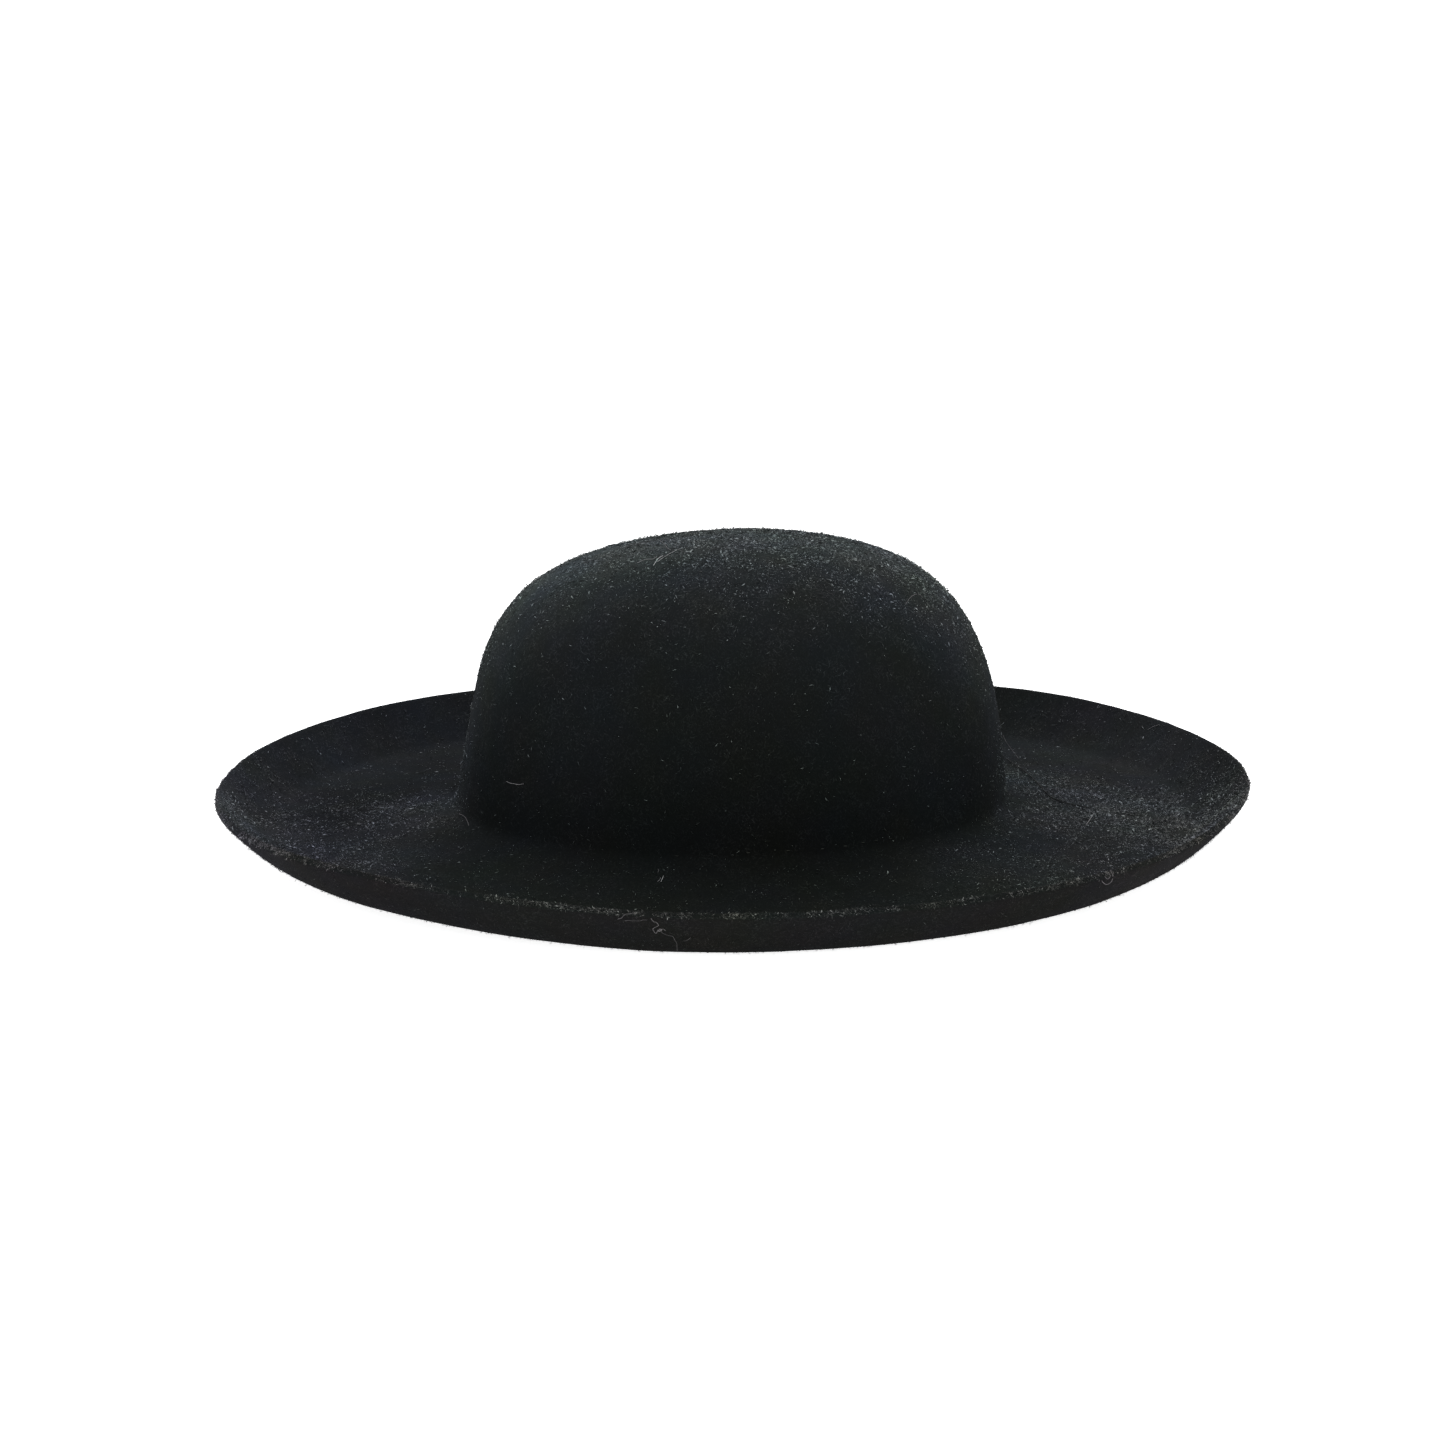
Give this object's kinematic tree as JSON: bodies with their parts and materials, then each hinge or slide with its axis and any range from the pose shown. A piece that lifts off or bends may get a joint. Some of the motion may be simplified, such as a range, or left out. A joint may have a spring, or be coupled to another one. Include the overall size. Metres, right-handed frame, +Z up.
{
  "type": "breton hat",
  "caption": "Breton hat of black wool felt in one piece: smooth domed crown, wide brim that dips from the crown and curls up all round its cut edge, resting on its brim.",
  "frame": {"origin": "on the floor that the hat rests on, below the middle of the brim", "axes": "+X towards the wearer's front, along the head's length; +Y across the head; +Z up, towards the crown's top"},
  "size_m": [0.3834, 0.354, 0.1106],
  "materials": {
    "wool_felt": "dense black wool felt with a short, slightly lint-catching nap"
  },
  "bodies": {
    "root": {"felt_hat": "wool_felt"}
  },
  "joints": []
}
